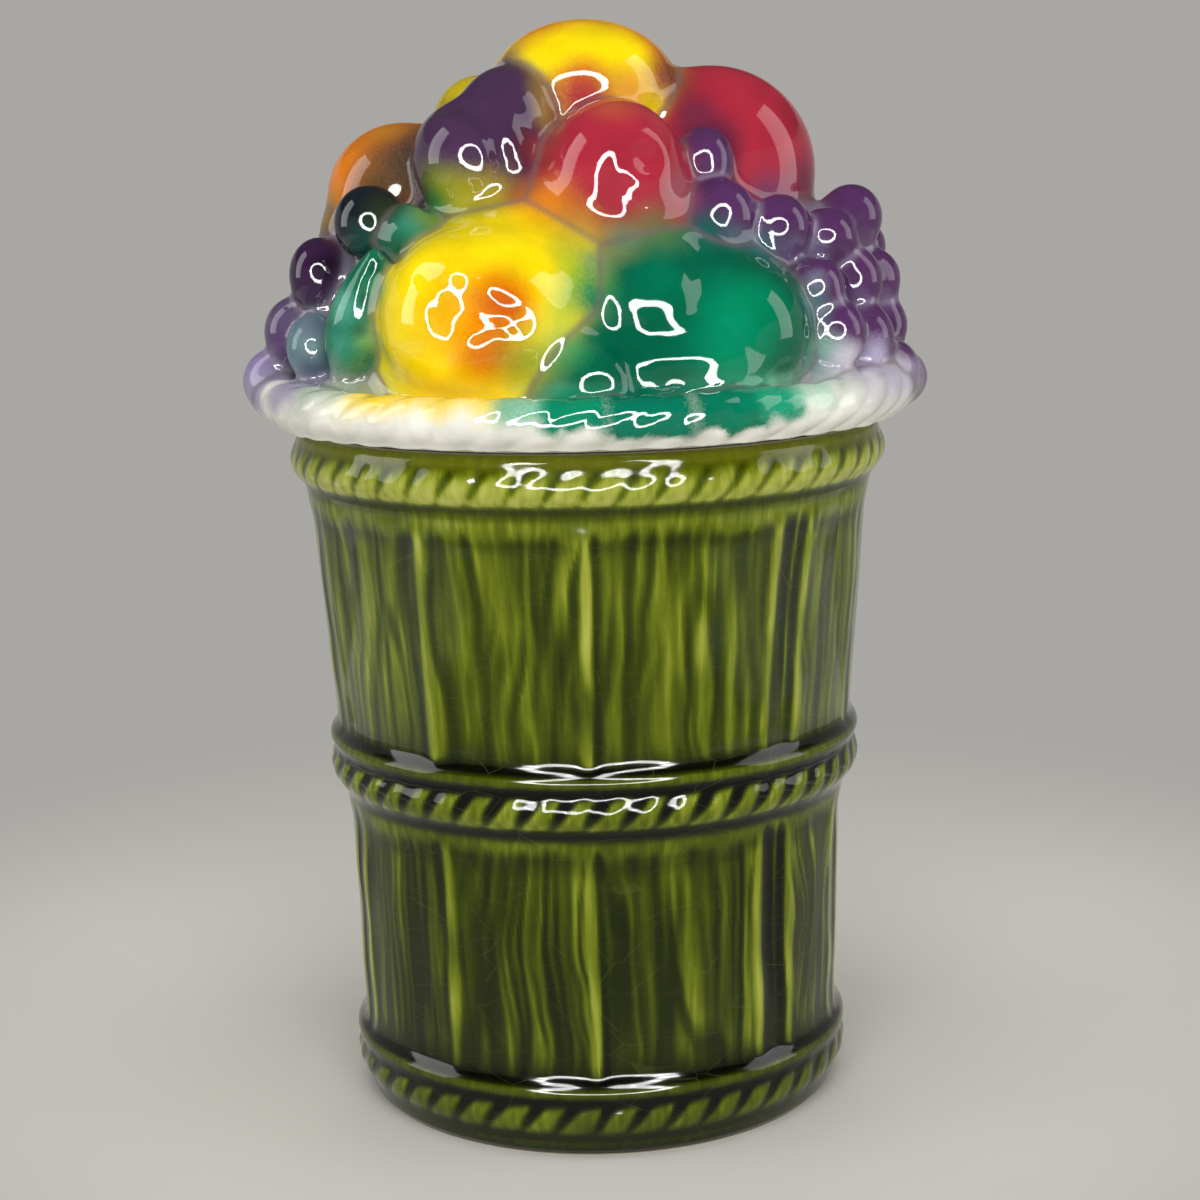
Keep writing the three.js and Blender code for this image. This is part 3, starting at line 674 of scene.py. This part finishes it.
# Hollows and creases that the fruit are pressed with: path from the seat, width, depth
CREASES = [
    # blossom end of the yellow apple, with folds running out from it
    ([(-32, -79, 37)], 6.5, 4.6), ([(-32, -78, 37), (-41, -71, 46)], 3.2, 1.6),
    ([(-32, -78, 37), (-27, -73, 49)], 3.2, 1.5), ([(-32, -78, 37), (-17, -77, 33)], 3.2, 1.8),
    ([(-32, -78, 37), (-36, -76, 25)], 3.2, 1.6), ([(-26, -79, 35), (-22, -78, 24)], 3.0, 1.0),
    # stem end of the red apple, off to one side
    ([(17, -50, 73)], 4.0, 2.8), ([(13, -51.5, 77), (10, -52, 66), (15, -50, 60)], 3.0, 0.8),
    # seam of the plum
    ([(-36, -30, 89), (-28, -37, 86), (-22, -41, 79), (-20, -42, 72)], 3.6, 2.4),
    # blossom end of the pepper and the folds between its lobes
    ([(6, -71, 31)], 5.0, 4.4), ([(8, -71, 30), (20, -73, 28), (33, -70, 27)], 3.4, 1.2),
    ([(7, -70, 31), (6, -64, 42), (9, -58, 50)], 3.4, 1.4),
    ([(31.5, -54, 50), (31.5, -62, 44), (30.5, -68, 36)], 3.6, 3.0),
    ([(8, -72, 28), (13, -77, 16), (15, -76, 6)], 3.2, 1.6),
    # midrib between the halves of the leaf, and its stem
    ([(-52, -50, 50), (-55.6, -52, 43), (-58, -53, 34), (-60, -53, 25), (-63, -51, 16)], 1.5, 1.5),
    # blossom end of the pear
    ([(-29, 77.5, 38)], 6.0, 3.6),
]


def press_depth(at):
    """How deep the hollows and creases of the fruit are at each point."""
    depth = np.zeros(len(at))
    for path, width, deep in CREASES:
        path = [np.array(corner, float) for corner in path]
        away = np.full(len(at), 1e9)
        for a, b in zip(path, path[1:] or path):
            run = b - a
            share = np.clip((at - a) @ run / max(run @ run, 1e-9), 0, 1)
            away = np.minimum(away, np.linalg.norm(at - a - share[:, None] * run, axis=1))
        depth = depth + deep * np.exp(-(away / width) ** 2)
    return depth


def glazed_surface(at, fill):
    """Distance from the heap with its creases filled by glaze; fill is their softness in millimetres."""
    radius = np.hypot(at[:, 0], at[:, 1])
    wall = ball_distance(at, (0, 0, 10), (FLANGE_RADIUS, FLANGE_RADIUS, HOLLOW_HEIGHT - 5))
    plate = np.maximum(at[:, 2] - PLATE_TOP, radius - LID_RADIUS + LID_ROPE)
    rows = heap_distances(at)
    # Glaze fills the valleys between large fruit deeper than those between grapes
    large = soft_least([*rows[:len(FRUIT)], wall], 1.15 * fill)
    return soft_least([*rows[len(FRUIT):], large, plate], 0.85 * fill) + press_depth(at)


# Step in millimetres at which the slope of the glazed surface is felt
PROBE = 0.2
# Softness in millimetres of the glaze that fills the creases
GLAZE_FILL = 2.2
# Sizes in millimetres of the cells that the heap is fused with, first and last
VOXELS = (1.3, 1.15)


def settle_glaze(lid, fill):
    """Moves the lid's outer points on to the glazed surface, by steps along its slope."""
    points = points_of(lid)
    at = points - np.array([0, 0, SEAT])
    outer = np.flatnonzero((at[:, 2] > 4) | (np.hypot(at[:, 0], at[:, 1]) > 84))
    moving = at[outer]
    for _ in range(3):
        here = glazed_surface(moving, fill)
        steps = PROBE * np.eye(3)
        slope = np.column_stack([glazed_surface(moving + step, fill) - here for step in steps]) / PROBE
        move = -here[:, None] * slope / np.maximum((slope ** 2).sum(axis=1), 0.2)[:, None]
        length = np.linalg.norm(move, axis=1)
        moving = moving + move * np.minimum(1, 3 / np.maximum(length, 1e-6))[:, None]
    points[outer] = moving + np.array([0, 0, SEAT])
    move_points(lid, points)


def dome_points(radius, bottom, top, steps):
    return [(radius * math.cos(a), bottom + (top - bottom) * math.sin(a))
            for a in (0.5 * math.pi * i / steps for i in range(steps + 1))]


def make_lid():
    ring = LID_RADIUS - LID_ROPE
    flange_end = SEAT - FLANGE_DEPTH
    plate = [(0, flange_end), (FLANGE_RADIUS - 1, flange_end), (FLANGE_RADIUS, flange_end + 1)]
    plate += [(FLANGE_RADIUS, SEAT), (FLANGE_RADIUS + 8, SEAT), (ring - 1, SEAT + 5), (ring, SEAT + 10)]
    plate.append((FLANGE_RADIUS, SEAT + PLATE_TOP))
    plate += dome_points(FLANGE_RADIUS, SEAT + 10, SEAT + HOLLOW_HEIGHT + 5, 12)[1:]
    lid = turned_piece("fruit_lid", plate, 192)
    heap = [fruit_ball(*ball) for _, balls in FRUIT.values() for ball in balls]
    heap += [fruit_ball(*ball) for ball in BUNCH_BACKS]
    heap += [fruit_ball(at, size, segments=24) for at, size in LEFT_GRAPES + RIGHT_GRAPES + BACK_GRAPES]
    heap += [leaf_blade(*leaf) for leaf in LEAVES]
    heap.append(rope_edge())
    select_only(lid)
    for part in heap:
        part.select_set(True)
    bpy.ops.object.join()
    for voxel in VOXELS:
        apply_modifier(lid, "REMESH", mode="VOXEL", voxel_size=voxel * MM)
        settle_glaze(lid, GLAZE_FILL)
    apply_modifier(lid, "SMOOTH", factor=0.5, iterations=3)
    hollow = [(0, flange_end - 5), (HOLLOW_RADIUS, flange_end - 5)]
    hollow += dome_points(HOLLOW_RADIUS, SEAT, SEAT + HOLLOW_HEIGHT, 16)
    cutter = turned_piece("hollow_cutter", hollow, 96)
    apply_modifier(lid, "BOOLEAN", operation="DIFFERENCE", object=cutter, solver="EXACT")
    bpy.data.objects.remove(cutter)
    paint_lid(lid)
    smooth_shade(lid)
    return lid


def sprayed_coats(at):
    """Underglaze colours at points from the seat: skins of the fruit, sprays over them, runs on the rope.

    Gives the first colour, the second colour, and how far the second covers the first."""
    radius = np.hypot(at[:, 0], at[:, 1])
    bearing = np.degrees(np.arctan2(at[:, 0], -at[:, 1]))
    gaps = heap_distances(at)
    dome = np.hypot(radius / HOLLOW_RADIUS, np.maximum(at[:, 2], 0) / HOLLOW_HEIGHT)
    under = (at[:, 2] < 2.5) | (dome < 1.02)
    gaps[-1] = np.where(under, -20, gaps[-1])
    nearest = gaps.min(axis=0)
    weight = np.exp(-(gaps - nearest) / 1.3)
    weight /= weight.sum(axis=0)
    first = weight.T @ np.array([linear(skin)[:3] for skin in HEAP_SKINS])
    order = np.argsort(gaps, axis=0)[:2]
    apart = np.take_along_axis(gaps, order[1:], 0)[0] - nearest
    bunches = (order.min(axis=0) >= GRAPE_ROWS[0]) & (order.max(axis=0) < GRAPE_ROWS[1])
    # Seams: taupe where glaze fills the creases; between grapes pale lilac, partly a painted highlight along
    # the glaze ridge
    seam_glaze_and_sheen = np.where(bunches[:, None], linear(LILAC_SEAM_SHEEN)[:3], linear(TAUPE)[:3])
    seam = np.where(under, 0, 0.6 * np.exp(-(apart / 1.5) ** 2))[:, None]
    ragged = 0.75 * wander(bearing / 3.4, at[:, 2] / 9 + 5)
    ragged = ragged + 0.25 * wander(bearing / 1.3, at[:, 2] / 2.5 + 9) - 0.5
    coats = []
    for middle, reach, colour, strength in SPRAYS:
        off = np.linalg.norm(at - np.array(middle, float), axis=1) / reach
        coats.append((colour, strength * smooth_step(1.2, 0.0, off)))
    for middle, half, colour, low, soft, strength in RUNS:
        off = np.abs((bearing - middle + 180) % 360 - 180)
        near = smooth_step(half, half * 0.5, off)
        near = near * smooth_step(low - soft, low + soft, at[:, 2] + 5 * ragged)
        near = strength * near * smooth_step(19, 15, at[:, 2])
        coats.append((colour, near * smooth_step(72, 80, radius)))
    cover = np.zeros(len(at))
    second = np.zeros((len(at), 3))
    for colour, near in coats:
        near = np.where(under, 0, near)
        second = second + near[:, None] * (np.array(linear(colour)[:3]) - second)
        cover = cover + near * (1 - cover)
    second = second / np.maximum(cover, 1e-4)[:, None]
    return first + seam * (seam_glaze_and_sheen - first), second + seam * (seam_glaze_and_sheen - second), cover


def paint_lid(lid):
    first, second, cover = sprayed_coats(points_of(lid) - np.array([0, 0, SEAT]))
    write_colours(lid, "first_coat", first)
    write_colours(lid, "second_coat", second)
    write_values(lid, "cover", cover)


# Materials

def add_node(tree, kind, settings, inputs):
    """Adds a node; an input that is a socket is linked, and any other is set."""
    made = tree.nodes.new(kind)
    for key, value in settings.items():
        setattr(made, key, value)
    for key, value in inputs.items():
        if isinstance(value, bpy.types.NodeSocket):
            tree.links.new(value, made.inputs[key])
        else:
            made.inputs[key].default_value = value
    return made


def attribute_node(tree, name):
    return add_node(tree, "ShaderNodeAttribute", {"attribute_name": name}, {})


def noise_node(tree, place, scale, detail):
    return add_node(tree, "ShaderNodeTexNoise", {}, {"Vector": place, "Scale": scale, "Detail": detail})


def blend_node(tree, share, one, other):
    """A colour that is one where share is 0 and the other where it is 1."""
    return add_node(tree, "ShaderNodeMix", {"data_type": "RGBA"}, {0: share, 6: one, 7: other})


def set_ramp(ramp, stops):
    elements = ramp.color_ramp.elements
    while len(elements) < len(stops):
        elements.new(0.5)
    for element, (place, colour) in zip(elements, stops):
        element.position = place
        element.color = linear(colour)


def new_material(name):
    material = bpy.data.materials.new(name)
    material.use_nodes = True
    material.node_tree.nodes.clear()
    return material, material.node_tree


def olive_glaze():
    """Olive-green glaze over carved earthenware: pale where it thins on edges, near black in pools."""
    material, tree = new_material("olive_pooled_glaze_on_earthenware")
    # Depth of the glaze, with painted shade added over the foot
    depth = attribute_node(tree, "glaze_depth_and_shade")
    inside = attribute_node(tree, "inside")
    bare = attribute_node(tree, "bare_foot")
    place = add_node(tree, "ShaderNodeTexCoord", {}, {})
    # Streaks in the glaze, about 2.3 mm wide and 35 mm long
    stretch = add_node(tree, "ShaderNodeMapping", {},
                       {"Vector": place.outputs["Object"], "Scale": (430, 430, 28)})
    streak = noise_node(tree, stretch.outputs[0], 1.0, 3.0)
    streak_depth = add_node(tree, "ShaderNodeMath", {"operation": "MULTIPLY_ADD"},
                            {0: streak.outputs["Fac"], 1: 0.32, 2: -0.16})
    # Clouds of thicker and thinner glaze, about 30 mm across
    cloud = noise_node(tree, place.outputs["Object"], 33.0, 2.0)
    cloud_depth = add_node(tree, "ShaderNodeMath", {"operation": "MULTIPLY_ADD"},
                           {0: cloud.outputs["Fac"], 1: 0.24, 2: -0.12})
    tone = add_node(tree, "ShaderNodeMath", {"operation": "ADD"},
                    {0: depth.outputs["Fac"], 1: cloud_depth.outputs[0]})
    tone = add_node(tree, "ShaderNodeMath", {"operation": "ADD"},
                    {0: tone.outputs[0], 1: streak_depth.outputs[0]})
    # The ramp runs from no glaze to 2 mm of it
    scaled = add_node(tree, "ShaderNodeMath", {"operation": "MULTIPLY"}, {0: tone.outputs[0], 1: 0.5})
    colour = add_node(tree, "ShaderNodeValToRGB", {}, {"Fac": scaled.outputs[0]})
    set_ramp(colour, GLAZE_RAMP)
    # Near the rim the glaze burnt to a brown olive
    level = add_node(tree, "ShaderNodeSeparateXYZ", {}, {0: place.outputs["Object"]})
    burnt = add_node(tree, "ShaderNodeMapRange", {"interpolation_type": "SMOOTHSTEP"},
                     {"Value": level.outputs["Z"], "From Min": 0.1885, "From Max": 0.192, "To Max": 0.6})
    colour = blend_node(tree, burnt.outputs[0], colour.outputs[0], linear("#6a6c0c"))
    # Crazing: hair cracks in the glaze, about 22 mm long and 7 mm apart
    wavy = noise_node(tree, place.outputs["Object"], 60.0, 1.0)
    bent = add_node(tree, "ShaderNodeVectorMath", {"operation": "MULTIPLY_ADD"},
                    {0: wavy.outputs["Color"], 1: (0.005, 0.005, 0.005), 2: place.outputs["Object"]})
    flat = add_node(tree, "ShaderNodeMapping", {}, {"Vector": bent.outputs[0], "Scale": (45, 45, 140)})
    cracks = add_node(tree, "ShaderNodeTexVoronoi", {"feature": "DISTANCE_TO_EDGE"},
                      {"Vector": flat.outputs[0], "Scale": 1.0})
    hair = add_node(tree, "ShaderNodeMapRange", {},
                    {"Value": cracks.outputs["Distance"], "From Min": 0.0, "From Max": 0.012,
                     "To Min": 0.06, "To Max": 0.0})
    crazed = blend_node(tree, hair.outputs[0], colour.outputs[2], linear("#a2a765"))
    lined = blend_node(tree, inside.outputs["Fac"], crazed.outputs[2], linear("#e8e2cf"))
    footed = blend_node(tree, bare.outputs["Fac"], lined.outputs[2], linear("#d8cbb0"))
    ripple = noise_node(tree, place.outputs["Object"], 140.0, 1.0)
    skin = add_node(tree, "ShaderNodeBump", {},
                    {"Strength": 0.12, "Distance": 0.0004, "Height": ripple.outputs["Fac"]})
    rough = add_node(tree, "ShaderNodeMapRange", {},
                     {"Value": bare.outputs["Fac"], "To Min": 0.09, "To Max": 0.75})
    shader = add_node(tree, "ShaderNodeBsdfPrincipled", {}, {
        "Base Color": footed.outputs[2], "Roughness": rough.outputs[0], "IOR": 1.34,
        "Normal": skin.outputs[0]})
    add_node(tree, "ShaderNodeOutputMaterial", {}, {"Surface": shader.outputs[0]})
    return material


def fruit_glaze():
    """Clear gloss glaze over airbrushed colours: soft speckled edges between colours, and a wet shine."""
    material, tree = new_material("clear_glaze_over_airbrushed_colours")
    first = attribute_node(tree, "first_coat")
    second = attribute_node(tree, "second_coat")
    cover = attribute_node(tree, "cover")
    place = add_node(tree, "ShaderNodeTexCoord", {}, {})
    # Droplets of the airbrush, about 0.7 mm
    drops = noise_node(tree, place.outputs["Object"], 1400.0, 2.0)
    grit = add_node(tree, "ShaderNodeMath", {"operation": "MULTIPLY_ADD"},
                    {0: drops.outputs["Fac"], 1: 0.36, 2: -0.18})
    speckled = add_node(tree, "ShaderNodeMath", {"operation": "ADD"},
                        {0: cover.outputs["Fac"], 1: grit.outputs[0]})
    edge = add_node(tree, "ShaderNodeMapRange", {},
                    {"Value": speckled.outputs[0], "From Min": 0.06, "From Max": 0.94})
    sprayed = blend_node(tree, edge.outputs[0], first.outputs["Color"], second.outputs["Color"])
    # Uneven thickness of the colour, about 12 mm across
    cloud = noise_node(tree, place.outputs["Object"], 80.0, 3.0)
    thin = add_node(tree, "ShaderNodeMapRange", {},
                    {"Value": cloud.outputs["Fac"], "From Min": 0.3, "From Max": 0.7, "To Min": 0.86,
                     "To Max": 1.1})
    shaded = add_node(tree, "ShaderNodeVectorMath", {"operation": "SCALE"},
                      {0: sprayed.outputs[2], "Scale": thin.outputs[0]})
    shader = add_node(tree, "ShaderNodeBsdfPrincipled", {},
                      {"Base Color": shaded.outputs[0], "Roughness": 0.045, "IOR": 1.4})
    add_node(tree, "ShaderNodeOutputMaterial", {}, {"Surface": shader.outputs[0]})
    return material


def studio_paper(near, far):
    """Matt pale grey paper, lit near the jar; from near to far metres away it fades into an even grey."""
    material, tree = new_material("pale_grey_paper")
    place = add_node(tree, "ShaderNodeTexCoord", {}, {})
    behind = add_node(tree, "ShaderNodeVectorMath", {"operation": "SUBTRACT"},
                      {0: place.outputs["Object"], 1: (0, 0.1, 0)})
    away = add_node(tree, "ShaderNodeVectorMath", {"operation": "LENGTH"}, {0: behind.outputs[0]})
    fade = add_node(tree, "ShaderNodeMapRange", {"interpolation_type": "SMOOTHSTEP"},
                    {"Value": away.outputs["Value"], "From Min": near, "From Max": far})
    paper = add_node(tree, "ShaderNodeBsdfDiffuse", {}, {"Color": linear("#e0ddd6")})
    haze = add_node(tree, "ShaderNodeEmission", {}, {"Color": linear("#a9a7a3"), "Strength": 1.0})
    mixed = add_node(tree, "ShaderNodeMixShader", {},
                     {0: fade.outputs[0], 1: paper.outputs[0], 2: haze.outputs[0]})
    add_node(tree, "ShaderNodeOutputMaterial", {}, {"Surface": mixed.outputs[0]})
    return material


# Studio: lengths in metres, angles in degrees

# Distances from the jar over which the lit paper fades into an even grey
PAPER_FADE = (0.14, 0.36)
# Lit tubes round the camera, and the half width and half height of their ring
TUBES = 12
TUBE_FRAME = (0.33, 0.27)
# The photo's viewpoint, with its pan, pitch and roll
CAMERA_PLACE = (0, -0.7076, 0.2745)
CAMERA_TURN = (0.205, 10.65, -1.315)


def area_lamp(name, size, power):
    """A rectangular lamp of (width, height) metres, still at the origin."""
    lamp = bpy.data.lights.new(name, "AREA")
    lamp.shape = "RECTANGLE"
    lamp.size, lamp.size_y = size
    lamp.energy = power
    made = bpy.data.objects.new(name, lamp)
    bpy.context.scene.collection.objects.link(made)
    return made


def soft_light(name, place, aim, size, power):
    """A rectangular lamp that faces aim."""
    made = area_lamp(name, size, power)
    made.location = place
    made.rotation_euler = (Vector(aim) - Vector(place)).to_track_quat("-Z", "Y").to_euler()
    return made


def make_studio():
    deselect()
    bpy.ops.mesh.primitive_circle_add(vertices=96, radius=4, fill_type="NGON")
    ground = bpy.context.object
    ground.name = "paper_floor"
    ground.data.materials.append(studio_paper(*PAPER_FADE))
    deselect()
    bpy.ops.mesh.primitive_cylinder_add(
        vertices=96, radius=4, depth=1.6, end_fill_type="NOTHING", location=(0, 0, 0.8))
    bpy.ops.object.transform_apply(location=True)
    backdrop = bpy.context.object
    backdrop.name = "paper_backdrop"
    backdrop.data.materials.append(studio_paper(*PAPER_FADE))
    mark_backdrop(ground, backdrop)
    middle = (0, 0, 0.17)
    # Soft light from the front and from above, without a mark on the glaze
    soft_light("front_panel", (0, -0.75, 0.45), middle, (0.7, 0.6), 5.1).visible_glossy = False
    soft_light("top_panel", (0, -0.1, 1.4), middle, (1.0, 0.8), 5.0).visible_glossy = False
    soft_light("back_panel", (0, 1.0, 0.6), middle, (0.7, 0.6), 2.2).visible_glossy = False
    # Tall windows left and right, which show on the fruit
    for side, power in ((-1, 6.4), (1, 4.6)):
        window = soft_light("window", (0.95 * side, -0.1, 0.66), (0, -0.1, 0.4), (0.46, 1.05), power)
        window.visible_diffuse = False
        soft_light("side_panel", (0.95 * side, -0.1, 0.42), middle, (0.6, 0.6), 2.2).visible_glossy = False
    # Cards lying left and right of the jar, which show as pale patches on the staves
    for side in (-1, 1):
        card = soft_light(
            "side_card", (0.49 * side, -0.03, 0.004), (0.49 * side, -0.03, 1), (0.28, 0.62), 0.24)
        card.visible_camera = False
    # Frame of lit tubes round the camera, which draws outlined highlights on the glaze
    wide, high = TUBE_FRAME
    for number in range(TUBES):
        angle = TURN * (number + 0.5) / TUBES
        place = Vector((wide * math.cos(angle), -0.6, 0.36 + high * math.sin(angle)))
        along = Vector((-wide * math.sin(angle), 0, high * math.cos(angle)))
        facing = (Vector(middle) - place).normalized()
        across = facing.cross(along).normalized()
        along = across.cross(facing)
        tube = area_lamp("frame_tube", (0.18, 0.085), 1.6)
        tube.visible_diffuse = False
        turn = Matrix((along, across, -facing)).transposed().to_4x4()
        tube.matrix_world = Matrix.Translation(place) @ turn
    world = bpy.data.worlds.new("grey_studio")
    world.use_nodes = True
    world.node_tree.nodes["Background"].inputs["Color"].default_value = linear("#454442")
    world.node_tree.nodes["Background"].inputs["Strength"].default_value = 1.0
    bpy.context.scene.world = world
    bpy.context.scene.view_settings.view_transform = "Standard"


def make_camera():
    """The photo's viewpoint: 0.71 m in front of the jar's axis, 0.27 m up, looking a little down."""
    pan, pitch, roll = (math.radians(angle) for angle in CAMERA_TURN)
    forward = Vector((math.sin(pan) * math.cos(pitch), math.cos(pan) * math.cos(pitch), -math.sin(pitch)))
    right = Vector((math.cos(pan), -math.sin(pan), 0))
    up = right.cross(forward)
    right, up = math.cos(roll) * right + math.sin(roll) * up, math.cos(roll) * up - math.sin(roll) * right
    lens = bpy.data.cameras.new("camera")
    lens.lens, lens.sensor_width = 75, 36
    camera = bpy.data.objects.new("camera", lens)
    turn = Matrix((right, up, -forward)).transposed().to_4x4()
    camera.matrix_world = Matrix.Translation(CAMERA_PLACE) @ turn
    bpy.context.scene.collection.objects.link(camera)
    bpy.context.scene.camera = camera


jar = make_jar()
jar.data.materials.append(olive_glaze())
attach(jar, "jar")
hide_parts("jar")

lid = make_lid()
lid.data.materials.append(fruit_glaze())
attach(lid, "lid")
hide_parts("lid")

make_studio()
make_camera()

boxes = {"cad": [list(corner) for corner in cad_box], "visual": [list(corner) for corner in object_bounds()]}
